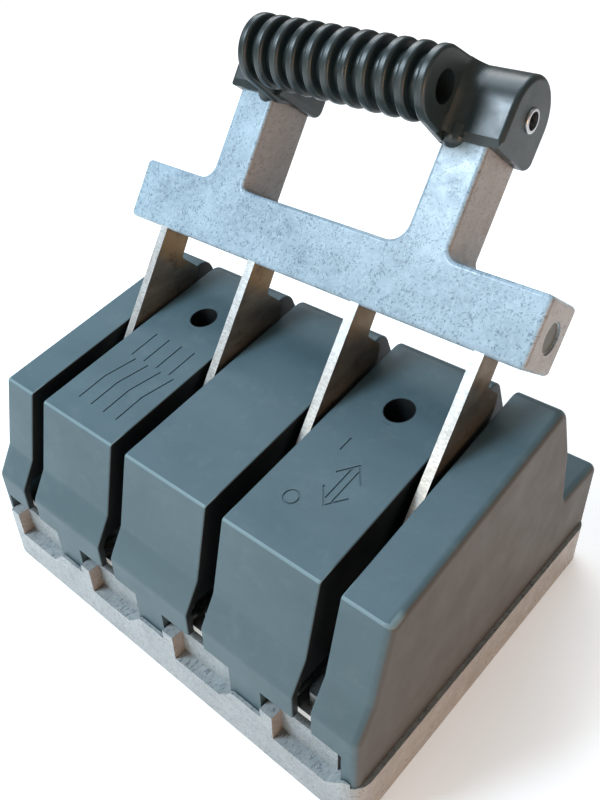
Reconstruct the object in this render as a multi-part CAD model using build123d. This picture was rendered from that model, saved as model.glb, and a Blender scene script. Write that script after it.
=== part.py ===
from build123d import *
import math
import os
from math import sin, cos, tan, radians, hypot

# Four-pole open knife blade switch, lying on its back: +X along the crossbar,
# +Y towards the line (rear) terminals, +Z up. Origin: centre of the base's
# underside. All sizes in millimetres.

# ---------------- driving dimensions ----------------
POLE_PITCH = 54.0
POLES = [(-1.5 + i) * POLE_PITCH for i in range(4)]
BASE_HALF_X, BASE_Y0, BASE_Y1 = 107.5, -86.4, 89.2
BASE_FLOOR_Z, BASE_RIM_Z = 18.0, 22.0
COVER_HALF_X, COVER_Y0, COVER_Y1 = 105.6, -84.6, 88.6
COVER_BOTTOM_Z, COVER_SKIN = 22.3, 3.0
SLOT_W = 8.4
CREASE_Y, CREASE_Z = -68.7, 93.7
CREST_Y, CREST_Z = 38.2, 116.4
STEP_Y, SHELF_Z = 57.0, 56.4
SCREW_X, SCREW_Y, WELL_R = 54.0, 5.0, 6.05
MOUNT_X, MOUNT_Y, MOUNT_R = 54.0, 66.0, 3.5
PIVOT_Y, PIVOT_Z = -46.0, 42.0
LEAN = 33.7                    # lever's lean to the rear from upright, as stored
BLADE_T = 4.0
PIN_R = 4.0
BAR_Z0, BAR_Z1 = 115.9, 142.3  # crossbar, measured from the pivot along the lever
BAR_Y0, BAR_Y1 = -9.8, 16.4    # crossbar front and back faces in the lever's frame
BAR_X0, BAR_X1 = -104.0, 98.0
ARM_X = (-54.0, 46.4)
ARM_W = 19.0
BLOCK_HALF = 14.4
ROD_R = 6.2
GRIP_Z, GRIP_Y, GRIP_R = 195.1, -24.0, 13.4
GRIP_X0, GRIP_X1 = -46.6, 39.4
RIVET_Z, RIVET_Y, BLOCK_R = 197.2, 3.2, 15.2
BLOCK_Z0 = 182.2
RIVET_R = 4.0                  # hollow rivets, 0.7 mm wall
COVE_R = 6.5

os.makedirs("parts", exist_ok=True)


def save(shape, name):
    solids = shape.solids() if hasattr(shape, "solids") else list(shape)
    out = solids[0] if len(solids) == 1 else Compound(children=list(solids))
    out.label = name
    export_step(out, "parts/" + name + ".step")


def box(x0, x1, y0, y1, z0, z1):
    return Pos((x0 + x1) / 2, (y0 + y1) / 2, (z0 + z1) / 2) * Box(x1 - x0, y1 - y0, z1 - z0)


def slab(points, x0, x1):
    """Solid whose side view is the closed outline of (y, z) points, from x0 to x1."""
    face = Plane.YZ * make_face(Polyline(*points, close=True))
    return Pos(x0, 0, 0) * extrude(face, x1 - x0, dir=(1, 0, 0))


def cyl_z(x, y, z0, z1, r):
    return Pos(x, y, (z0 + z1) / 2) * Cylinder(r, z1 - z0)


def cyl_x(y, z, x0, x1, r):
    return Pos((x0 + x1) / 2, y, z) * Rot(0, 90, 0) * Cylinder(r, x1 - x0)


def hex_z(x, y, z0, z1, across):
    return Pos(x, y, z0) * extrude(RegularPolygon(across / 2 / cos(radians(30)), 6), z1 - z0)


def hex_x(y, z, x0, x1, across):
    return Pos(x0, y, z) * Rot(0, 90, 0) * extrude(RegularPolygon(across / 2 / cos(radians(30)), 6), x1 - x0)


def soften(shape, edges, radius):
    """Rounds the edges, or as many of them as the shape lets round."""
    edges = list(edges)
    if not edges:
        return shape
    try:
        out = fillet(edges, radius)
        if out.is_valid and out.volume > 0:
            return out
    except Exception:
        pass
    c = edges[0].center()
    print("edges left sharp:", len(edges), "near", round(c.X, 1), round(c.Y, 1), round(c.Z, 1))
    return shape


# ---------------- base: one compression moulding ----------------
base = box(-BASE_HALF_X, BASE_HALF_X, BASE_Y0, BASE_Y1, 0, 24.6)
base = soften(base, base.edges().filter_by(Axis.Z), 9)
base = soften(base, base.edges().filter_by(lambda e: abs(e.center().Z) < 0.01), 1.2)
# inner tray; the rim that is left is 6 mm thick, and lower along the sides and rear
base -= box(-BASE_HALF_X + 6, BASE_HALF_X - 6, BASE_Y0 + 6, BASE_Y1 - 6, BASE_FLOOR_Z, 40)
base -= box(-BASE_HALF_X - 1, BASE_HALF_X + 1, BASE_Y0 + 14, BASE_Y1 + 1, BASE_RIM_Z, 40)
# shallow rebate at the front on which the cover's front edge stands
base -= box(-BASE_HALF_X - 1, BASE_HALF_X + 1, COVER_Y0 - 0.4, BASE_Y0 + 15, BASE_RIM_Z, 40)
for s in POLES:
    # hump beside each front wire notch, then the notch itself with its sloping right end
    base += box(s - 19, s - 13, BASE_Y0, BASE_Y0 + 6, BASE_FLOOR_Z - 4, 29.5)
    notch = Plane.XZ * make_face(Polyline((s - 13, 32), (s - 13, 16.6), (s + 12, 16.6), (s + 20, 24.6), (s + 20, 32), close=True))
    base -= Pos(0, BASE_Y0 - 2, 0) * extrude(notch, -16)
    # plain notch at the rear
    base -= box(s - 13, s + 13, BASE_Y1 - 7, BASE_Y1 + 2, 16.6, 30)
    # wall behind the front notch, then the pedestals under the terminals
    base += box(s - 14.5, s + 13.5, -80.9, -72, BASE_FLOOR_Z - 4, 30)
    base += box(s - 11, s + 11, -74, -57, BASE_FLOOR_Z - 1, 33)
    base += box(s - 11, s + 11, 59, 76, BASE_FLOOR_Z - 1, 33)
# barriers between the poles, with bosses for the cover screws
for x in (-54.0, 0.0, 54.0):
    y0, y1 = (-76, 78) if x == 0 else (-52, 52)
    base += box(x - 1.75, x + 1.75, y0, y1, BASE_FLOOR_Z - 1, 52)
for x in (-SCREW_X, SCREW_X):
    base += cyl_z(x, SCREW_Y, BASE_FLOOR_Z - 1, 60, 7.5)
    base -= cyl_z(x, SCREW_Y, 44, 61, 4.0)
# pockets in the underside, leaving a ribbed slab
for x in (-81, -27, 27, 81):
    for y0, y1 in ((-74, -54), (-36, -6), (0, 16), (42, 56)):
        base -= box(x - 17, x + 17, y0 + 1, y1 - 1, -1, 3)
# mounting holes with a counterbore for the screw head
for x in (-MOUNT_X, MOUNT_X):
    for y in (-MOUNT_Y, MOUNT_Y):
        base += cyl_z(x, y, BASE_FLOOR_Z - 1, 24, 8.5)
        base -= cyl_z(x, y, -1, 30, MOUNT_R)
        base -= cyl_z(x, y, 19, 30, 6.5)

# ---------------- cover: one thin moulding, five ridges ----------------
outline = [(COVER_Y0, COVER_BOTTOM_Z), (COVER_Y0, 48.4), (-76.8, 61.3), (CREASE_Y, CREASE_Z), (CREST_Y, CREST_Z),
           (50.0, 88.0), (STEP_Y, SHELF_Z), (COVER_Y1, SHELF_Z), (COVER_Y1, COVER_BOTTOM_Z)]
cover = slab(outline, -COVER_HALF_X, COVER_HALF_X)


def along_x_at(e, y, z):
    c = e.center()
    return abs(c.Y - y) < 0.2 and abs(c.Z - z) < 0.2 and abs(e.length - 2 * COVER_HALF_X) < 1


cover = soften(cover, cover.edges().filter_by(lambda e: along_x_at(e, CREST_Y, CREST_Z)), 7.0)
cover = soften(cover, cover.edges().filter_by(lambda e: along_x_at(e, 50.0, 88.0)), 30.0)
cover = soften(cover, cover.edges().filter_by(lambda e: along_x_at(e, CREASE_Y, CREASE_Z)), 1.8)
cover = soften(cover, cover.edges().filter_by(lambda e: along_x_at(e, COVER_Y1, SHELF_Z)), 4.0)
cover = soften(cover, cover.edges().filter_by(lambda e: along_x_at(e, STEP_Y, SHELF_Z)), 3.0)
cover = soften(cover, cover.edges().filter_by(lambda e: along_x_at(e, COVER_Y0, 48.4)), 4.0)
cover = soften(cover, cover.edges().filter_by(lambda e: along_x_at(e, -76.8, 61.3)), 5.0)
ends = [e for e in cover.edges() if abs(abs(e.center().X) - COVER_HALF_X) < 0.01 and e.center().Z > COVER_BOTTOM_Z + 1]
cover = soften(cover, ends, 3.4)
# slots for the blades, open from the front skirt over the crest to the rear shelf
for s in POLES:
    cover -= box(s - SLOT_W / 2, s + SLOT_W / 2, -100, STEP_Y - 1.0, 10, 130)
    rear = slab([(-100, 200), (-100, SHELF_Z + 0.8), (200, SHELF_Z + 0.8), (200, 200)], s - SLOT_W / 2, s + SLOT_W / 2)
    cover -= rear
rims = []
for e in cover.edges():
    c = e.center()
    if any(abs(abs(c.X - s) - SLOT_W / 2) < 0.01 for s in POLES) and c.Z > COVER_BOTTOM_Z + 1:
        b = e.bounding_box()
        if b.size.X < 0.01 and c.Y < STEP_Y - 2:
            rims.append(e)
cover = soften(cover, rims, 0.7)
# hollow under each ridge, a wider bay below for clips and jaws, and the rear bay
inner_front = [(COVER_Y0 + 3, 0), (COVER_Y0 + 3, 47.6), (-73.9, 60.5), (CREASE_Y + 2.6, CREASE_Z - 2.6), (CREST_Y - 2.5, CREST_Z - 4.2),
               (46.6, 87.2), (STEP_Y - 3.4, SHELF_Z - 3.0), (COVER_Y1 - 3, SHELF_Z - 3.0), (COVER_Y1 - 3, 0)]
edges_x = [-COVER_HALF_X] + [v for s in POLES for v in (s - SLOT_W / 2, s + SLOT_W / 2)] + [COVER_HALF_X]
for k in range(5):
    x0, x1 = edges_x[2 * k], edges_x[2 * k + 1]
    w0 = COVER_SKIN if k == 0 else 2.2
    w1 = COVER_SKIN if k == 4 else 2.2
    cover -= slab(inner_front, x0 + w0, x1 - w1)
bay = [(COVER_Y0 + 3, 0), (COVER_Y0 + 3, 47.6), (-79.0, 51.0), (-60, 53), (-34, 53), (4, 58), (14, 69), (46, 69), (50.5, SHELF_Z - 3.0), (COVER_Y1 - 3, SHELF_Z - 3.0), (COVER_Y1 - 3, 0)]
for s in POLES:
    cover -= slab(bay, s - 8, s + 8)
    # raised cut-out of the front edge over the wire notch, and a plain one at the rear
    cover -= box(s - 20, s + 17.8, COVER_Y0 - 5, COVER_Y0 + 6, 0, 36.8)
    cover -= box(s - 13, s + 13, COVER_Y1 - 6, COVER_Y1 + 5, 0, 34)
# the front rim's top is higher than the sides' between the notches
cover -= box(-COVER_HALF_X - 1, COVER_HALF_X + 1, COVER_Y0 - 1, COVER_Y0 + 8, 0, COVER_BOTTOM_Z + 0.01)
# webs that tie the ridges together under the rear shelf
for y in (60.0, 78.0):
    for s in POLES:
        cover += box(s - 9, s + 9, y, y + 2.4, 47, SHELF_Z - 1)
# wells for the two cover screws
for x in (-SCREW_X, SCREW_X):
    top = CREASE_Z + (SCREW_Y - CREASE_Y) * (CREST_Z - CREASE_Z) / (CREST_Y - CREASE_Y)
    well = cyl_z(x, SCREW_Y, 60.3, top - 1.6, WELL_R + 2.2)
    cover += well
    cover -= cyl_z(x, SCREW_Y, 63.5, 140, WELL_R)
    cover -= cyl_z(x, SCREW_Y, 50, 70, 3.0)
# shallow generic engravings: a position arrow, I and O, and four bent lines
tilt = (CREST_Z - CREASE_Z) / (CREST_Y - CREASE_Y)


def groove(path, width=0.9, depth=0.45):
    """Straight runs of groove on the sloping top, through (x, y) points."""
    out = None
    for (xa, ya), (xb, yb) in zip(path, path[1:]):
        za = CREASE_Z + (ya - CREASE_Y) * tilt
        zb = CREASE_Z + (yb - CREASE_Y) * tilt
        a, b = Vector(xa, ya, za), Vector(xb, yb, zb)
        mid, run = (a + b) * 0.5, b - a
        normal = Vector(0, -tilt, 1).normalized()
        bar = Plane(origin=mid, x_dir=run.normalized(), z_dir=normal) * Box(run.length + width, width, 2 * depth)
        out = bar if out is None else out + bar
    return out


marks = [groove([(47.2, -21.5), (47.2, -15.8)], 1.0),                       # I
         groove([(56.5, -41.5), (56.5, -27.0)], 0.8), groove([(59.5, -41.5), (59.5, -27.0)], 0.8),
         groove([(52.6, -30.5), (58.0, -24.0), (63.4, -30.5)], 0.8),
         groove([(52.6, -38.0), (58.0, -44.5), (63.4, -38.0)], 0.8)]
for k in range(4):
    x = -66.5 + 8.2 * k
    marks.append(groove([(x + 1.5, -58.0), (x + 1.5, -44.0), (x + 5.2, -30.0)], 0.7))
    marks.append(groove([(x + 1.5, -28.5), (x + 1.5, -14.0)], 0.7))
for m in marks:
    cover -= m
ring_z = CREASE_Z + (-48.0 - CREASE_Y) * tilt
ring_plane = Plane(origin=(46.0, -48.0, ring_z), x_dir=(1, 0, 0), z_dir=(0, -tilt, 1))
cover -= ring_plane * (Cylinder(3.4, 0.9) - Cylinder(2.6, 2))               # O

save(base, "base")
save(cover, "cover")

# ---------------- cover screws and their inserts ----------------
screws, inserts = [], []
for x in (-SCREW_X, SCREW_X):
    head = cyl_z(x, SCREW_Y, 63.5, 67.0, 4.6)
    head = soften(head, head.edges().filter_by(lambda e: e.center().Z > 66.9), 1.2)
    head -= box(x - 4.0, x + 4.0, SCREW_Y - 0.5, SCREW_Y + 0.5, 65.4, 68)
    head -= box(x - 0.5, x + 0.5, SCREW_Y - 4.0, SCREW_Y + 4.0, 65.4, 68)
    screws.append(head + cyl_z(x, SCREW_Y, 47.0, 63.5, 2.5))
    inserts.append(cyl_z(x, SCREW_Y, 44.0, 58.0, 4.0) - cyl_z(x, SCREW_Y, 46.0, 59.0, 2.5))
save(Compound(children=screws), "cover_screws")
save(Compound(children=inserts), "cover_screw_inserts")

# ---------------- lever moulding ----------------
TURN = Pos(0, PIVOT_Y, PIVOT_Z) * Rot(-LEAN, 0, 0)


def blade_shape(s):
    """Blade in the lever's upright frame: heel round the pin, wide plate, narrow tang."""
    h = 9.3
    pts = [(-h, 0), (-h, BAR_Z0 + 20), (10, BAR_Z0 + 20), (10, BAR_Z0 + 3), (5.0, BAR_Z0 + 3), (5.6, 105.4), (17.2, 103.6),
           (19.5, 98), (20.5, 60), (13.0, 26), (h, 0)]
    plate = slab(pts, s - BLADE_T / 2, s + BLADE_T / 2)
    for y, z, r in ((19.5, 98, 6.0), (17.2, 103.6, 2.2), (5.6, 105.4, 1.8), (20.5, 60, 12.0)):
        plate = soften(plate, plate.edges().filter_by(lambda e: abs(e.center().Y - y) < 0.05 and abs(e.center().Z - z) < 0.05), r)
    plate += cyl_x(0, 0, s - BLADE_T / 2, s + BLADE_T / 2, h)
    plate -= cyl_x(0, 0, s - BLADE_T, s + BLADE_T, PIN_R + 0.06)
    plate -= cyl_x((BAR_Y0 + BAR_Y1) / 2, (BAR_Z0 + BAR_Z1) / 2, s - BLADE_T, s + BLADE_T, ROD_R)
    return plate


blades = [blade_shape(s) for s in POLES]
bar_c_y, bar_c_z = (BAR_Y0 + BAR_Y1) / 2, (BAR_Z0 + BAR_Z1) / 2
rod = cyl_x(bar_c_y, bar_c_z, BAR_X0 + 0.8, BAR_X1 - 0.8, ROD_R)

arm_top = RIVET_Z + 9.0


def blend(x0, z0, x1, z1, cx, cz, r):
    """Quarter-round from (x0, z0) to (x1, z1) about the point (cx, cz)."""
    mx, mz = (x0 + x1) / 2 - cx, (z0 + z1) / 2 - cz
    k = r / hypot(mx, mz)
    return ThreePointArc((x0, z0), (cx + mx * k, cz + mz * k), (x1, z1))


# crossbar and both arms are one plate, outlined in x and z
left, right = [], []
run = [(BAR_X0, BAR_Z1), (BAR_X0, BAR_Z0), (BAR_X1, BAR_Z0), (BAR_X1, BAR_Z1)]
edges = []
here = (BAR_X1, BAR_Z1)
for x, r_left, r_right in ((ARM_X[1], 8.0, 4.5), (ARM_X[0], 7.0, 2.4)):
    w = ARM_W / 2
    edges += Polyline(here, (x + w + r_right, BAR_Z1)).edges()
    edges += blend(x + w + r_right, BAR_Z1, x + w, BAR_Z1 + r_right, x + w + r_right, BAR_Z1 + r_right, r_right).edges()
    edges += Polyline((x + w, BAR_Z1 + r_right), (x + w - 0.4, arm_top), (x - w + 0.4, arm_top), (x - w, BAR_Z1 + r_left)).edges()
    edges += blend(x - w, BAR_Z1 + r_left, x - w - r_left, BAR_Z1, x - w - r_left, BAR_Z1 + r_left, r_left).edges()
    here = (x - w - r_left, BAR_Z1)
edges += Polyline(here, *run).edges()
yoke = Pos(0, BAR_Y0, 0) * extrude(Plane.XZ * make_face(edges), -(BAR_Y1 - BAR_Y0))
yoke = soften(yoke, [e for e in yoke.edges() if e.bounding_box().size.Y > 20 and min(abs(e.center().X - BAR_X0), abs(e.center().X - BAR_X1)) < 0.05], 2.0)
yoke = soften(yoke, [e for e in yoke.edges() if abs(e.center().Y - BAR_Y0) < 0.01 and e.bounding_box().size.Y < 0.01], 1.7)
yoke = soften(yoke, [e for e in yoke.edges() if abs(e.center().Y - BAR_Y1) < 0.01 and e.bounding_box().size.Y < 0.01], 1.7)
# rounded tops of the arms, inside the grip's end blocks
for x in ARM_X:
    end = slab([(-30, RIVET_Z - 1), (BAR_Y0 - 0.5, RIVET_Z - 1), (-6.6, RIVET_Z + 6.5), (-2.5, RIVET_Z + 8.8), (8.0, RIVET_Z + 8.8), (11.0, RIVET_Z + 6.5), (14.5, RIVET_Z - 1),
                (40, RIVET_Z - 1), (40, RIVET_Z + 20), (-30, RIVET_Z + 20)], x - 20, x + 20)
    yoke -= end
    yoke -= box(x - 20, x + 20, 14.6, 40, BLOCK_Z0 + 4, RIVET_Z + 20)
yoke -= cyl_x(bar_c_y, bar_c_z, BAR_X0 - 2, BAR_X1 + 2, ROD_R)
for b in blades:
    yoke -= b
for x in ARM_X:
    yoke -= cyl_x(RIVET_Y, RIVET_Z, x - 20, x + 20, RIVET_R)

# ---------------- grip: one moulding, ribbed handle between two end blocks ----------------
grip = cyl_x(GRIP_Y, GRIP_Z, GRIP_X0, GRIP_X1, 9.8)
pitch = (GRIP_X1 - 4.2 - GRIP_X0) / 10
for k in range(1, 10):
    x = GRIP_X0 + pitch * k
    rib = cyl_x(GRIP_Y, GRIP_Z, x, x + 4.2, GRIP_R)
    rib = soften(rib, [e for e in rib.edges() if e.geom_type == GeomType.CIRCLE], 1.5)
    grip += rib


def block_outline(r_extra=0.0):
    """Round-topped block face round the rivet, in the lever's (y, z), with a rounded lower rear corner."""
    r = BLOCK_R + r_extra
    corner = 4.2
    y1, zb = RIVET_Y + r, BLOCK_Z0
    face = Pos(RIVET_Y, RIVET_Z) * Circle(r) + Pos(RIVET_Y, (zb + RIVET_Z) / 2) * Rectangle(2 * r, RIVET_Z - zb)
    cut = Pos(y1 - corner / 2 + 0.5, zb + corner / 2 - 0.5) * Rectangle(corner + 1, corner + 1) - Pos(y1 - corner, zb + corner) * Circle(corner)
    cut = [f for f in cut.faces() if f.center().X > y1 - corner * 0.5 and f.center().Y < zb + corner * 0.5]
    return face - cut[0] if cut else face


def cove_profile(side, out, c):
    """Cross-section of the hollow cove: x across, distance from the rivet's axis up."""
    a, s0, b = out - side * 2.0, out - side * 0.7, out + side * c
    r_in, r_out = BLOCK_R - 3.0, BLOCK_R + c + 0.7
    k = c + 0.7
    mid = (b - side * k * 0.7071, r_out - k * 0.7071)
    return make_face(Polyline((b, BLOCK_R), (b, r_in), (a, r_in), (a, r_out), (s0, r_out)) + ThreePointArc((s0, r_out), mid, (b, BLOCK_R)))


for side, x in ((-1, ARM_X[0]), (1, ARM_X[1])):
    x0, x1 = x - BLOCK_HALF, x + BLOCK_HALF
    block = Pos(x0, 0, 0) * extrude(Plane.YZ * block_outline(), x1 - x0, dir=(1, 0, 0))
    block = soften(block, [e for e in block.edges() if abs(abs(e.center().X - x) - BLOCK_HALF) < 0.01], 2.0)
    # tapered band round the mouth of the block
    y0, y1, zb = RIVET_Y - BLOCK_R, RIVET_Y + BLOCK_R, BLOCK_Z0
    block -= slab([(y0 - 1, zb - 1), (y0 + 0.95, zb - 1), (y0 + 0.7, zb), (y0, zb + 2.9), (y0 - 1, zb + 2.9)], x0 - 1, x1 + 1)
    for xe, d in ((x0, 1), (x1, -1)):
        wedge = Plane.XZ * make_face(Polyline((xe - d, zb - 1), (xe + d * 1.25, zb - 1), (xe + d * 1.0, zb), (xe, zb + 2.9), (xe - d, zb + 2.9), close=True))
        block -= Pos(0, y0 - 2, 0) * extrude(wedge, -(y1 - y0 + 4))
    grip += block
    # end plate of the handle, running back into the block, and a thinner core behind it
    nx0, nx1 = (GRIP_X0, GRIP_X0 + 4.2) if side < 0 else (GRIP_X1 - 4.2, GRIP_X1)
    plate_face = make_hull(((Pos(GRIP_Y, GRIP_Z) * Circle(GRIP_R)) + (Pos(RIVET_Y, RIVET_Z + 0.3) * Circle(BLOCK_R - 1.2)) + (Pos(-8.6, 184.8) * Circle(4.8))).edges())
    plate = Pos(nx0, 0, 0) * extrude(Plane.YZ * plate_face, nx1 - nx0, dir=(1, 0, 0))
    plate = soften(plate, [e for e in plate.edges() if min(abs(e.center().X - nx0), abs(e.center().X - nx1)) < 0.01], 1.4)
    core_face = make_hull(((Pos(GRIP_Y, GRIP_Z) * Circle(9.6)) + (Pos(RIVET_Y, RIVET_Z) * Circle(9.0))).edges())
    cx0, cx1 = (GRIP_X0 + 1, GRIP_X0 + 11) if side < 0 else (GRIP_X1 - 11, GRIP_X1 - 1)
    grip += Pos(cx0, 0, 0) * extrude(Plane.YZ * core_face, cx1 - cx0, dir=(1, 0, 0))
    # hollow cove from the end plate's outer face round to the block's front, shallower towards the top
    out = nx1 if side > 0 else nx0
    sections = []
    for t, c in ((0, COVE_R), (22, 5.9), (44, 4.6), (66, 3.0), (84, 1.9)):
        ct, st = math.cos(math.radians(t)), math.sin(math.radians(t))
        sections.append(Plane(origin=(0, RIVET_Y, RIVET_Z), x_dir=(1, 0, 0), z_dir=(0, -st, -ct)) * cove_profile(side, out, c))
    cove = loft(sections) + extrude(sections[0], RIVET_Z - BLOCK_Z0 - 0.8, dir=(0, 0, -1))
    region = Pos(out - 10, 0, 0) * extrude(Plane.YZ * plate_face, 20, dir=(1, 0, 0))
    # the plate's face stops at a low step along the cove
    step = (Pos(RIVET_Y, RIVET_Z) * Circle(BLOCK_R + 5.4)) + (Pos(RIVET_Y - BLOCK_R / 2 - 2.7, (BLOCK_Z0 + RIVET_Z) / 2 - 5) * Rectangle(BLOCK_R + 5.4, RIVET_Z - BLOCK_Z0 + 10))
    plate -= Pos(min(out - side * 0.7, out + side), 0, 0) * extrude(Plane.YZ * step, 1.7, dir=(1, 0, 0))
    grip += plate
    grip += cove & region
    # round-bottomed hub below the cove
    grip += Pos(out + side * 1.9, -8.6, 185.4) * Cylinder(5.0, 3.6) + Pos(out + side * 1.9, -8.6, 183.8) * Sphere(5.0)
grip -= cyl_x(GRIP_Y, GRIP_Z, GRIP_X0 - 2, GRIP_X1 + 2, 5.8)
for x in ARM_X:
    w = ARM_W / 2
    # the pocket takes the arm's end, so the two touch face to face
    grip -= yoke
    grip -= box(x - w - 0.2, x + w + 0.2, BAR_Y0 - 0.2, BAR_Y1 + 0.2, BLOCK_Z0 - 6, BLOCK_Z0 + 1.2)
    grip -= cyl_x(RIVET_Y, RIVET_Z, x - 20, x + 20, RIVET_R)
    # recess for the rivet's inner head, through the neck
    inner_x = x + BLOCK_HALF if x < 0 else x - BLOCK_HALF
    grip -= cyl_x(RIVET_Y, RIVET_Z, min(inner_x, inner_x - 9 * (1 if x > 0 else -1)), max(inner_x, inner_x - 9 * (1 if x > 0 else -1)), 4.8)
rivets = []
for x in ARM_X:
    x0, x1 = x - BLOCK_HALF, x + BLOCK_HALF
    r = cyl_x(RIVET_Y, RIVET_Z, x0, x1, RIVET_R) + cyl_x(RIVET_Y, RIVET_Z, x0 - 0.9, x0, 4.6) + cyl_x(RIVET_Y, RIVET_Z, x1, x1 + 0.9, 4.6)
    r = soften(r, [e for e in r.edges() if e.geom_type == GeomType.CIRCLE and abs(abs(e.center().X - x) - BLOCK_HALF - 0.9) < 0.02], 0.6)
    rivets.append(r - cyl_x(RIVET_Y, RIVET_Z, x0 - 2, x1 + 2, RIVET_R - 0.7))

save(TURN * yoke, "lever_yoke")
save(TURN * rod, "crossbar_rod")
save(TURN * grip, "grip")
save(TURN * Compound(children=rivets), "grip_rivets")
for i, b in enumerate(blades):
    save(TURN * b, "blade_%d" % (i + 1))

# ---------------- fixed contacts, one set for each pole ----------------
GAP = 0.15                     # running gap each side of a blade
CHEEK = 2.4
clip_pins, clip_nuts, clip_washers, clip_screws = [], [], [], []
jaw_screws, term_bolts, term_washers, term_nuts = [], [], [], []
for i, s in enumerate(POLES):
    hx = BLADE_T / 2 + GAP
    f = BASE_FLOOR_Z
    # load terminal: bar on the pedestal, stepping down to the floor under the hinge clip
    load = slab([(-79.5, 33), (-79.5, 36), (-54, 36), (-54, f + 3), (-36, f + 3), (-36, f), (-57, f), (-57, 33)], s - 9, s + 9)
    load -= cyl_z(s, -69, 20, 40, 4.2)
    load -= cyl_z(s, -46, 10, 30, 2.6)
    save(load, "load_terminal_%d" % (i + 1))
    # hinge clip: a floor plate with two cheeks that hold the hinge pin
    clip = box(s - hx - CHEEK, s + hx + CHEEK, -54, -38, f + 3, f + 5.4)
    for side in (-1, 1):
        x0 = s + side * hx if side > 0 else s - hx - CHEEK
        cheek = slab([(-54, f + 3), (-54, PIVOT_Z - 2), (-50, PIVOT_Z + 8), (-42, PIVOT_Z + 8), (-38, PIVOT_Z - 2), (-38, f + 3)], x0, x0 + CHEEK)
        clip += cheek
    clip -= cyl_x(PIVOT_Y, PIVOT_Z, s - 20, s + 20, PIN_R)
    clip -= cyl_z(s, -46, 20, 26, 2.6)
    save(clip, "hinge_clip_%d" % (i + 1))
    clip_screws.append(cyl_z(s, -46, 12, f + 5.4, 2.6) + cyl_z(s, -46, f + 5.4, f + 7.6, 3.9 if hx > 4 else 2.0))
    pin_l = hx + CHEEK
    pin = cyl_x(PIVOT_Y, PIVOT_Z, s - pin_l, s + pin_l + 6.4, PIN_R) + hex_x(PIVOT_Y, PIVOT_Z, s - pin_l - 4.0, s - pin_l, 11)
    clip_pins.append(pin)
    clip_washers.append(cyl_x(PIVOT_Y, PIVOT_Z, s + pin_l, s + pin_l + 1.4, 6.4) - cyl_x(PIVOT_Y, PIVOT_Z, s, s + 20, PIN_R))
    clip_nuts.append(hex_x(PIVOT_Y, PIVOT_Z, s + pin_l + 1.4, s + pin_l + 6.0, 11) - cyl_x(PIVOT_Y, PIVOT_Z, s, s + 20, PIN_R))
    # jaw: two upright leaves whose lips flare apart to guide the blade in
    j0, j1 = 22.0, 42.0
    jaw = box(s - hx - CHEEK, s + hx + CHEEK, j0, j1, f + 3, f + 5.4)
    for side in (-1, 1):
        leaf = Plane.XZ * make_face(Polyline((s + side * hx, f + 3), (s + side * hx, 61.5), (s + side * (hx + 1.5), 64.6), (s + side * (hx + 3.2), 64.0), (s + side * (hx + CHEEK), 60.9),
                                             (s + side * (hx + CHEEK), f + 3), close=True))
        jaw += Pos(0, j0, 0) * extrude(leaf, -(j1 - j0))
    jaw -= cyl_z(s, 32, 20, 26, 2.6)
    save(jaw, "jaw_%d" % (i + 1))
    # spring leaves that press the jaw together from outside
    spring = None
    for side in (-1, 1):
        xa, xb = sorted((s + side * (hx + CHEEK), s + side * (hx + CHEEK + 0.8)))
        leaf = box(xa, xb, j0 + 5, j1 - 5, f + 5.6, 57)
        spring = leaf if spring is None else spring + leaf
    save(spring, "jaw_spring_%d" % (i + 1))
    jaw_screws.append(cyl_z(s, 32, 12, f + 5.4, 2.6) + cyl_z(s, 32, f + 5.4, f + 7.4, 2.0))
    line = slab([(80.5, 33), (80.5, 36), (56, 36), (56, f + 3), (20, f + 3), (20, f), (59, f), (59, 33)], s - 9, s + 9)
    line -= cyl_z(s, 71, 20, 40, 4.2)
    line -= cyl_z(s, 32, 10, 30, 2.6)
    save(line, "line_terminal_%d" % (i + 1))
    for y in (-69.0, 71.0):
        bolt = hex_z(s, y, 37.6, 42.6, 13) + cyl_z(s, y, 24, 37.6, 4.0)
        bolt = soften(bolt, [], 0.5)
        term_bolts.append(bolt)
        term_washers.append(cyl_z(s, y, 36, 37.6, 7.6) - cyl_z(s, y, 30, 40, 4.0))
        term_nuts.append(hex_z(s, y, 25.5, 32.0, 13) - cyl_z(s, y, 20, 40, 4.0))
save(Compound(children=clip_pins), "hinge_pins")
save(Compound(children=clip_washers), "hinge_spring_washers")
save(Compound(children=clip_nuts), "hinge_nuts")
save(Compound(children=clip_screws), "hinge_clip_screws")
save(Compound(children=jaw_screws), "jaw_screws")
save(Compound(children=term_bolts), "terminal_bolts")
save(Compound(children=term_washers), "terminal_washers")
save(Compound(children=term_nuts), "terminal_nuts")

# the base again, now with the holes and nut pockets that the metal parts need
for s in POLES:
    for y in (-69.0, 71.0):
        base -= hex_z(s, y, 25.5, 33.5, 13)
        base -= cyl_z(s, y, 23.0, 34, 4.2)
    for y in (-46.0, 32.0):
        base -= cyl_z(s, y, 12, 30, 2.6)
save(base, "base")
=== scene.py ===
import bpy, bmesh, math
from mathutils import Matrix, Vector

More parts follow.
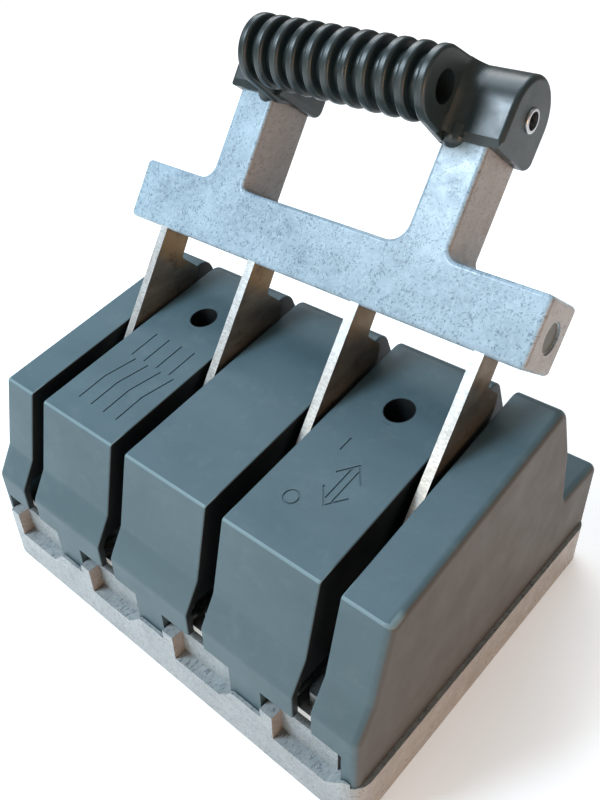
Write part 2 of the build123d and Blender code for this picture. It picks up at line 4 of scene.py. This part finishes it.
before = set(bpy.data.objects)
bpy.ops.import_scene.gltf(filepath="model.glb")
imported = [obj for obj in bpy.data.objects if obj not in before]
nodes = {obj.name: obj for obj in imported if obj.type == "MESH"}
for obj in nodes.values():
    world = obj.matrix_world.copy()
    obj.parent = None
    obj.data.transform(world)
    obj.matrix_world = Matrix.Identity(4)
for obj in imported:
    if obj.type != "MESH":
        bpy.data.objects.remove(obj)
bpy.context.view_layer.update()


# ---------------------------------------------------------------- node helpers
class Mat:
    """Small helper that builds a node material."""

    def __init__(self, name):
        self.m = bpy.data.materials.new(name)
        self.m.use_nodes = True
        self.t = self.m.node_tree
        self.p = self.t.nodes["Principled BSDF"]
        self.co = self.t.nodes.new("ShaderNodeTexCoord").outputs["Object"]

    def new(self, kind, **props):
        n = self.t.nodes.new(kind)
        for k, v in props.items():
            setattr(n, k, v)
        return n

    def link(self, a, b):
        self.t.links.new(a, b)

    def mapping(self, scale=(1, 1, 1), rot=(0, 0, 0), src=None):
        n = self.new("ShaderNodeMapping")
        n.inputs["Scale"].default_value = scale
        n.inputs["Rotation"].default_value = rot
        self.link(src or self.co, n.inputs["Vector"])
        return n.outputs["Vector"]

    def noise(self, scale, detail=3.0, rough=0.55, src=None, distortion=0.0):
        n = self.new("ShaderNodeTexNoise")
        n.inputs["Scale"].default_value = scale
        n.inputs["Detail"].default_value = detail
        n.inputs["Roughness"].default_value = rough
        n.inputs["Distortion"].default_value = distortion
        self.link(src or self.co, n.inputs["Vector"])
        return n.outputs["Fac"]

    def voronoi(self, scale, feature="F1", src=None):
        n = self.new("ShaderNodeTexVoronoi", feature=feature)
        n.inputs["Scale"].default_value = scale
        self.link(src or self.co, n.inputs["Vector"])
        return n.outputs["Distance"]

    def ramp(self, fac, stops, interp="LINEAR"):
        n = self.new("ShaderNodeValToRGB")
        n.color_ramp.interpolation = interp
        els = n.color_ramp.elements
        while len(els) < len(stops):
            els.new(0.5)
        for e, (pos, col) in zip(els, stops):
            e.position = pos
            e.color = (col, col, col, 1) if isinstance(col, (int, float)) else (*col, 1)
        self.link(fac, n.inputs["Fac"])
        return n.outputs["Color"]

    def mix(self, fac, a, b, mode="MIX"):
        n = self.new("ShaderNodeMix", data_type="RGBA", blend_type=mode)
        for sock, v in ((n.inputs["Factor"], fac), (n.inputs["A"], a), (n.inputs["B"], b)):
            if isinstance(v, (int, float)):
                sock.default_value = v
            elif isinstance(v, tuple):
                sock.default_value = (*v, 1)
            else:
                self.link(v, sock)
        return n.outputs["Result"]

    def math(self, op, a, b=0.0, clamp=False):
        n = self.new("ShaderNodeMath", operation=op, use_clamp=clamp)
        for sock, v in ((n.inputs[0], a), (n.inputs[1], b)):
            if isinstance(v, (int, float)):
                sock.default_value = v
            else:
                self.link(v, sock)
        return n.outputs[0]

    def bump(self, height, strength=0.2, distance=0.0002, normal=None):
        n = self.new("ShaderNodeBump")
        n.inputs["Strength"].default_value = strength
        n.inputs["Distance"].default_value = distance
        self.link(height, n.inputs["Height"])
        if normal is not None:
            self.link(normal, n.inputs["Normal"])
        return n.outputs["Normal"]

    def coord(self, which="Object"):
        """Separate x, y and z of the object position or the object-space normal."""
        n = self.new("ShaderNodeSeparateXYZ")
        tc = self.new("ShaderNodeTexCoord")
        self.link(tc.outputs[which], n.inputs[0])
        return n.outputs[0], n.outputs[1], n.outputs[2]

    def step(self, v, a, b):
        """0 below a, 1 above b (or the reverse when a > b), smooth between."""
        n = self.new("ShaderNodeMapRange", interpolation_type="SMOOTHSTEP")
        n.clamp = True
        n.inputs["From Min"].default_value = min(a, b)
        n.inputs["From Max"].default_value = max(a, b)
        n.inputs["To Min"].default_value = 0.0 if a < b else 1.0
        n.inputs["To Max"].default_value = 1.0 if a < b else 0.0
        self.link(v, n.inputs["Value"])
        return n.outputs[0]

    def radius(self, u, v, cu, cv):
        """Distance of (u, v) from the axis at (cu, cv)."""
        du = self.math("SUBTRACT", u, cu)
        dv = self.math("SUBTRACT", v, cv)
        s2 = self.math("ADD", self.math("MULTIPLY", du, du), self.math("MULTIPLY", dv, dv))
        return self.math("SQRT", s2)

    def set(self, **kw):
        for k, v in kw.items():
            sock = self.p.inputs[k.replace("_", " ")]
            if isinstance(v, (int, float)):
                sock.default_value = v
            elif isinstance(v, tuple):
                sock.default_value = (*v, 1) if len(v) == 3 else v
            else:
                self.link(v, sock)


def srgb(r, g, b):
    def f(c):
        c /= 255
        return c / 12.92 if c <= 0.04045 else ((c + 0.055) / 1.055) ** 2.4
    return (f(r), f(g), f(b))


def make_bmc(name, front_tint, shaded_side_tint):
    """Pale bulk moulding compound: cloudy resin with sparse short dark glass fibres and small pits."""
    m = Mat(name)
    cloud = m.noise(48, 5, 0.62)
    base = m.mix(m.ramp(cloud, [(0.36, 0.0), (0.64, 1.0)]), srgb(148, 160, 168), srgb(172, 184, 191))
    patches = m.ramp(m.noise(190, 4, 0.62), [(0.44, 0.0), (0.64, 1.0)])
    base = m.mix(m.math("MULTIPLY", patches, 0.26), base, srgb(126, 140, 150))
    veil = m.ramp(m.noise(430, 3, 0.6), [(0.50, 0.0), (0.62, 1.0)])
    base = m.mix(m.math("MULTIPLY", veil, 0.24), base, srgb(196, 205, 210))
    # fibres: short bent streaks in five directions, in loose drifts
    hair = None
    for k, rot in enumerate(((0.3, 0.2, 0.5), (0.9, 1.1, -0.6), (-0.7, 0.5, 1.6), (1.3, -0.8, 0.2), (0.1, 1.4, 0.9))):
        v = m.mapping((1050, 400, 1050), rot)
        streak = m.ramp(m.noise(1.0, 1.0, 0.5, v, 0.8), [(0.625, 0.0), (0.665, 1.0)])
        gate = m.ramp(m.noise(120 + 26 * k, 2, 0.5), [(0.46, 0.05), (0.58, 1.0)])
        one = m.math("MULTIPLY", streak, gate)
        hair = one if hair is None else m.math("MAXIMUM", hair, one)
    base = m.mix(m.math("MULTIPLY", hair, 0.62), base, srgb(66, 80, 94))
    specks = m.ramp(m.voronoi(430), [(0.0, 1.0), (0.17, 0.0)])
    sgate = m.ramp(m.noise(260, 1, 0.5), [(0.53, 0.0), (0.60, 1.0)])
    base = m.mix(m.math("MULTIPLY", m.math("MULTIPLY", specks, sgate), 0.6), base, srgb(66, 74, 82))
    nx, ny, nz = m.coord("Normal")
    # painted shade: faces turned to +X, away from the key light, are pulled toward a warm brown and take the darker
    # shaded-side tint
    shaded_side = m.step(nx, 0.5, 0.95)
    base = m.mix(m.math("MULTIPLY", shaded_side, 0.45), base, srgb(150, 126, 104))
    base = m.mix(1.0, base, m.mix(shaded_side, front_tint, shaded_side_tint), "MULTIPLY")
    rough = m.ramp(m.noise(180, 4, 0.6), [(0.3, 0.24), (0.7, 0.42)])
    n1 = m.bump(m.noise(900, 3, 0.6), 0.22, 0.00012)
    n2 = m.bump(m.noise(140, 3, 0.5), 0.18, 0.0005, n1)
    m.set(Base_Color=base, Roughness=rough, Normal=n2)
    m.p.inputs["Specular IOR Level"].default_value = 0.45
    m.p.inputs["IOR"].default_value = 1.5
    return m.m


def make_cover():
    """Dark blue-grey moulded plastic with a fine spark-eroded grain; the slots' and wells' walls are painted near
    black as shade.
    """
    m = Mat("cover_plastic")
    x, y, z = m.coord("Object")
    nx, ny, nz = m.coord("Normal")
    flow = m.noise(1.0, 4, 0.55, m.mapping((14, 38, 38)))
    base = m.mix(m.ramp(flow, [(0.3, 0.0), (0.7, 1.0)]), srgb(66, 87, 94), srgb(76, 97, 104))
    dust = m.ramp(m.noise(95, 6, 0.7), [(0.52, 0.0), (0.74, 1.0)])
    base = m.mix(m.math("MULTIPLY", dust, 0.14), base, srgb(126, 140, 142))
    # painted shade: the outer right wall, facing +X away from the key light, is pulled toward a warm dark brown
    right_wall_shade = m.math("MULTIPLY", m.step(nx, 0.55, 0.95), m.step(x, 0.100, 0.104))
    base = m.mix(m.math("MULTIPLY", right_wall_shade, 0.8), base, srgb(74, 58, 42))
    flecks = m.ramp(m.voronoi(260), [(0.0, 1.0), (0.05, 0.0)])
    base = m.mix(m.math("MULTIPLY", flecks, 0.35), base, srgb(170, 178, 176))
    # painted highlight along the crease between the front and the sloping top
    crease_highlight = m.math("MULTIPLY", m.step(nz, 0.36, 0.55), m.math("MULTIPLY", m.step(nz, 0.96, 0.90), m.step(z, 0.0885, 0.0900)))
    crease_highlight = m.math("MULTIPLY", crease_highlight, m.step(y, -0.060, -0.064))
    base = m.mix(m.math("MULTIPLY", crease_highlight, 0.42), base, srgb(140, 166, 172))
    # painted shade: walls of the blade slots and of the screw wells are painted near black
    ax = m.math("ABSOLUTE", x)
    off = m.math("MINIMUM", m.math("ABSOLUTE", m.math("SUBTRACT", ax, 0.027)), m.math("ABSOLUTE", m.math("SUBTRACT", ax, 0.081)))
    wall = m.math("MULTIPLY", m.step(m.math("ABSOLUTE", nx), 0.80, 0.97), m.step(off, 0.0062, 0.0052))
    well = m.step(m.radius(ax, y, 0.054, 0.005), 0.0066, 0.0061)
    dark = m.math("MAXIMUM", wall, well)
    base = m.mix(m.math("MULTIPLY", dark, 0.95), base, srgb(9, 11, 12))
    rough = m.ramp(m.noise(48, 5, 0.65), [(0.3, 0.43), (0.72, 0.60)])
    grain = m.bump(m.noise(2600, 2, 0.6), 0.30, 0.00007)
    wave = m.bump(m.noise(36, 2, 0.4), 0.10, 0.0006, grain)
    m.set(Base_Color=base, Roughness=rough, Normal=wave)
    m.p.inputs["Specular IOR Level"].default_value = 0.4
    return m.m


def make_grip():
    """Very dark green-grey moulding, a little glossier where hands have polished it."""
    m = Mat("grip_plastic")
    tone = m.noise(70, 4, 0.6)
    base = m.mix(m.ramp(tone, [(0.3, 0.0), (0.7, 1.0)]), srgb(30, 39, 40), srgb(42, 53, 54))
    scuff = m.ramp(m.noise(1.0, 5, 0.7, m.mapping((260, 90, 700), (0.4, 0.1, 0.2))), [(0.6, 0.0), (0.78, 1.0)])
    base = m.mix(m.math("MULTIPLY", scuff, 0.20), base, srgb(104, 116, 116))
    rough = m.ramp(m.noise(120, 4, 0.6), [(0.3, 0.27), (0.7, 0.42)])
    n = m.bump(m.noise(1900, 2, 0.5), 0.16, 0.00006)
    n = m.bump(m.noise(85, 2, 0.5), 0.12, 0.0004, n)
    m.set(Base_Color=base, Roughness=rough, Normal=n)
    return m.m


def make_tin(name, warm=0.0, dark=0.0, blade=False):
    """Tinned copper: silvery, brushed along the blade; a blade's flat sides carry painted shade and a painted brown
    reflection with some grease, darker low down and towards +X.
    """
    m = Mat(name)
    brushed = m.noise(1.0, 4, 0.6, m.mapping((3200, 160, 160), (math.radians(33.7), 0, 0)))
    cloud = m.noise(75, 4, 0.6)
    base = m.mix(m.ramp(cloud, [(0.35, 0.0), (0.65, 1.0)]), srgb(196, 192, 184), srgb(222, 219, 212))
    copper = m.ramp(m.noise(46, 5, 0.65, distortion=0.4), [(0.50 - 0.22 * warm, 0.0), (0.70 - 0.12 * warm, 1.0)])
    base = m.mix(m.math("MULTIPLY", copper, 0.30 + 0.5 * warm), base, srgb(176, 128, 84))
    spots = m.ramp(m.noise(310, 3, 0.6), [(0.62, 0.0), (0.70, 1.0)])
    base = m.mix(m.math("MULTIPLY", spots, 0.35 + dark), base, srgb(96, 84, 72))
    metal = 1.0
    if blade:
        nx, ny, nz = m.coord("Normal")
        x, y, z = m.coord("Object")
        # height along the leaning blade, from the hinge
        along = m.math("ADD", m.math("MULTIPLY", m.math("ADD", y, 0.046), 0.5548), m.math("MULTIPLY", m.math("SUBTRACT", z, 0.042), 0.832))
        wobble = m.math("MULTIPLY", m.math("SUBTRACT", m.noise(60, 4, 0.6), 0.5), 0.016)
        tang = m.step(m.math("ADD", along, wobble), 0.100, 0.108)
        # painted shade and a painted brown reflection on the blade's flat sides, with a brass-coloured tang band near
        # the top and grease smears
        side_shade_and_grease = m.mix(m.ramp(m.noise(1.0, 4, 0.6, m.mapping((900, 30, 90), (math.radians(33.7), 0, 0))), [(0.3, 0.0), (0.7, 1.0)]), srgb(84, 82, 76), srgb(136, 132, 122))
        side_shade_and_grease = m.mix(m.math("MULTIPLY", tang, 0.75), side_shade_and_grease, srgb(138, 108, 64))
        # painted shade: darker low down, towards the slot
        low_shade = m.step(m.math("ADD", along, wobble), 0.082, 0.052)
        side_shade_and_grease = m.mix(m.math("MULTIPLY", low_shade, 0.6), side_shade_and_grease, srgb(34, 34, 32))
        # painted shade: darker towards +X, away from the key light
        side_shade_and_grease = m.mix(m.math("MULTIPLY", m.step(x, -0.050, 0.075), 0.50), side_shade_and_grease, srgb(30, 30, 27))
        smear = m.ramp(m.noise(130, 5, 0.7), [(0.56, 0.0), (0.66, 1.0)])
        side_shade_and_grease = m.mix(m.math("MULTIPLY", smear, 0.5), side_shade_and_grease, srgb(40, 34, 30))
        # the blade's flat sides take the painted shade; its edges are lifted toward a near-white silver
        shaded_side = m.step(m.math("ABSOLUTE", nx), 0.5, 0.8)
        nicks = m.ramp(m.noise(1.0, 4, 0.6, m.mapping((500, 500, 1400), (0.5, 0, 0))), [(0.42, 0.0), (0.62, 1.0)])
        base = m.mix(shaded_side, m.mix(m.math("MULTIPLY", nicks, 0.45), m.mix(0.5, base, srgb(226, 232, 234)), srgb(150, 152, 150)), side_shade_and_grease)
        metal = m.math("SUBTRACT", 0.85, m.math("MULTIPLY", shaded_side, 0.35))
    rough = m.ramp(brushed, [(0.3, 0.28), (0.7, 0.48)])
    n = m.bump(brushed, 0.14, 0.00005)
    n = m.bump(m.noise(400, 3, 0.6), 0.10, 0.0001, n)
    m.set(Base_Color=base, Roughness=rough, Normal=n, Metallic=metal)
    return m.m


def make_rod():
    """Steel rod: dull sawn end faces with a bright turned rim."""
    m = Mat("rod_steel")
    x, y, z = m.coord("Object")
    cy = -0.046 + (0.0033 * 0.832 + 0.1291 * 0.5548)
    cz = 0.042 + (-0.0033 * 0.5548 + 0.1291 * 0.832)
    r = m.radius(y, z, cy, cz)
    grain = m.noise(1.0, 3, 0.6, m.mapping((200, 1600, 500), (0.6, 0, 0)))
    base = m.mix(m.ramp(grain, [(0.3, 0.0), (0.7, 1.0)]), srgb(74, 70, 60), srgb(98, 92, 80))
    rim = m.step(r, 0.0053, 0.0058)
    base = m.mix(m.math("MULTIPLY", rim, 0.9), base, srgb(214, 214, 208))
    m.set(Base_Color=base, Roughness=m.ramp(grain, [(0.3, 0.36), (0.7, 0.54)]), Normal=m.bump(grain, 0.2, 0.00006), Metallic=m.math("ADD", 0.55, m.math("MULTIPLY", rim, 0.35)))
    return m.m


def make_metal(name, a, b, r0, r1, scale=900):
    m = Mat(name)
    base = m.mix(m.ramp(m.noise(160, 4, 0.6), [(0.35, 0.0), (0.65, 1.0)]), a, b)
    stain = m.ramp(m.noise(520, 4, 0.65), [(0.58, 0.0), (0.72, 1.0)])
    base = m.mix(m.math("MULTIPLY", stain, 0.35), base, srgb(88, 80, 70))
    rough = m.ramp(m.noise(scale, 3, 0.6), [(0.3, r0), (0.7, r1)])
    n = m.bump(m.noise(scale * 1.5, 2, 0.6), 0.15, 0.00005)
    m.set(Base_Color=base, Roughness=rough, Normal=n)
    m.p.inputs["Metallic"].default_value = 1.0
    return m.m


MATS = {
    "bmc_lever": make_bmc("bmc_lever", (0.86, 0.99, 1.07), (0.82, 0.78, 0.76)),
    "bmc_base": make_bmc("bmc_base", (0.85, 0.80, 0.75), (0.92, 0.84, 0.76)),
    "cover": make_cover(),
    "grip": make_grip(),
    "tin": make_tin("tinned_copper"),
    "blade": make_tin("blade_tin", 0.10, 0.0, True),
    "brass": make_metal("brass_turned", srgb(196, 160, 92), srgb(214, 180, 112), 0.25, 0.4),
    "zinc": make_metal("zinc_steel", srgb(176, 178, 180), srgb(206, 207, 206), 0.26, 0.42),
    "spring": make_metal("spring_steel", srgb(104, 106, 112), srgb(134, 136, 140), 0.35, 0.5),
    "rod": make_rod(),
}


def pick(n):
    if n == "base":
        return "bmc_base"
    if n == "lever_yoke":
        return "bmc_lever"
    if n in ("cover", "grip"):
        return n
    if n.startswith("blade_"):
        return "blade"
    if n == "cover_screw_inserts":
        return "brass"
    if n.startswith("jaw_spring"):
        return "spring"
    if n == "crossbar_rod":
        return "rod"
    if n.startswith(("load_terminal", "line_terminal", "jaw_", "hinge_clip_")) and not n.endswith("screws"):
        return "tin"
    return "zinc"


for name, obj in nodes.items():
    obj.data.materials.clear()
    obj.data.materials.append(MATS[pick(name)])

# ---------------------------------------------------------------- stage
bm = bmesh.new()
N = 40
R = 6.0
rings = []
for i in range(N + 1):
    ring = []
    for j in range(N + 1):
        x = (i / N - 0.5) * 2 * R
        y = (j / N - 0.5) * 2 * R
        ring.append(bm.verts.new((x, y, 0.0)))
    rings.append(ring)
for i in range(N):
    for j in range(N):
        bm.faces.new((rings[i][j], rings[i + 1][j], rings[i + 1][j + 1], rings[i][j + 1]))
me = bpy.data.meshes.new("floor")
bm.to_mesh(me)
bm.free()
floor = bpy.data.objects.new("floor", me)
bpy.context.scene.collection.objects.link(floor)
fm = Mat("floor")
fm.set(Base_Color=fm.mix(fm.ramp(fm.noise(3, 3, 0.5), [(0.3, 0.0), (0.7, 1.0)]), (0.88, 0.88, 0.875), (0.92, 0.92, 0.915)), Roughness=0.75)
fm.p.inputs["Emission Color"].default_value = (1.0, 0.99, 0.98, 1)
fm.p.inputs["Emission Strength"].default_value = 0.32
floor.data.materials.append(fm.m)

world = bpy.data.worlds.new("world")
bpy.context.scene.world = world
world.use_nodes = True
world.node_tree.nodes["Background"].inputs["Color"].default_value = (1.0, 0.95, 0.90, 1)
world.node_tree.nodes["Background"].inputs["Strength"].default_value = 0.20


def area(name, loc, target, size, power, color):
    d = bpy.data.lights.new(name, "AREA")
    d.shape = "RECTANGLE"
    d.size, d.size_y = size
    d.energy = power
    d.color = color
    o = bpy.data.objects.new(name, d)
    bpy.context.scene.collection.objects.link(o)
    o.location = loc
    o.rotation_mode = "QUATERNION"
    o.rotation_quaternion = (Vector(target) - Vector(loc)).to_track_quat("-Z", "Y")
    return o


area("key", (-0.53, -0.70, 1.06), (0, 0, 0.10), (0.42, 0.42), 15.5, (0.76, 0.92, 1.06))
area("top", (-0.25, 0.35, 1.15), (0, 0, 0.1), (0.8, 0.8), 7.0, (0.74, 0.90, 1.04))
area("front", (-0.25, -1.20, 0.30), (0, 0, 0.08), (0.6, 0.4), 3.2, (1.0, 0.88, 0.74))
area("backdrop", (-0.95, 1.05, 1.40), (-0.90, 1.0, 0.0), (0.9, 0.9), 11.0, (1.0, 0.99, 0.97))
area("fill", (0.95, -0.25, 0.20), (0, 0, 0.08), (0.5, 0.35), 3.0, (1.0, 0.58, 0.30))

# ---------------------------------------------------------------- camera
cam_data = bpy.data.cameras.new("camera")
cam = bpy.data.objects.new("camera", cam_data)
bpy.context.scene.collection.objects.link(cam)
bpy.context.scene.camera = cam
cam_data.sensor_width = 36.0
cam_data.lens = 814.9 / 800 * 36.0
cam_data.clip_start = 0.01
cam_data.clip_end = 20
rx = Vector((0.75096683, 0.6599814, -0.02175693))
ry = Vector((0.38008549, -0.4589577, -0.80305221))
rz = Vector((-0.53998503, 0.59479608, -0.59551136))
cam.matrix_world = Matrix(((rx[0], -ry[0], -rz[0], 0.19112286), (rx[1], -ry[1], -rz[1], -0.20193541),
                           (rx[2], -ry[2], -rz[2], 0.29743526), (0, 0, 0, 1)))

scene = bpy.context.scene
scene.view_settings.view_transform = "Standard"
scene.view_settings.look = "None"
scene.view_settings.exposure = 0.0
